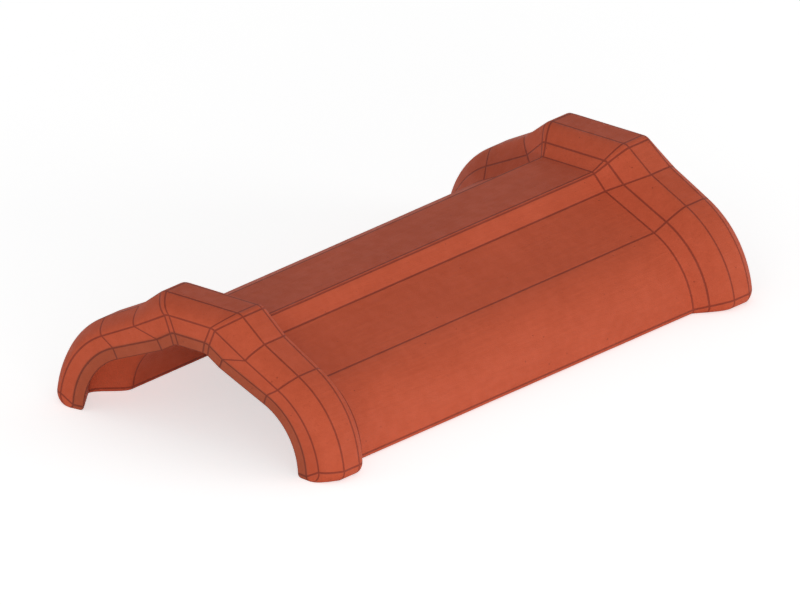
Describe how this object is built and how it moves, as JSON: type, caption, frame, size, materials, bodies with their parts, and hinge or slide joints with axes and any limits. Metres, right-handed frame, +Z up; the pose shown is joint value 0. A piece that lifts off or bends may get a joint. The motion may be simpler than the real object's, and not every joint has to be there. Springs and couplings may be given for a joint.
{
  "type": "clay ridge roof tile",
  "caption": "Arched clay ridge tile with a flat raised crown, sloping shoulders, round flanks and a swollen collar at each end.",
  "frame": {"origin": "centre of the tile in plan, in the plane of its bearing edges", "axes": "+Y along the ridge, +X across it, +Z up; the tile stands on its two long lower edges"},
  "size_m": [0.25, 0.45, 0.0993],
  "materials": {
    "fired_clay": "unglazed red fired clay, matt, smooth pressed face with fine grain"
  },
  "bodies": {
    "root": {"ridge_tile": "fired_clay"}
  },
  "joints": []
}
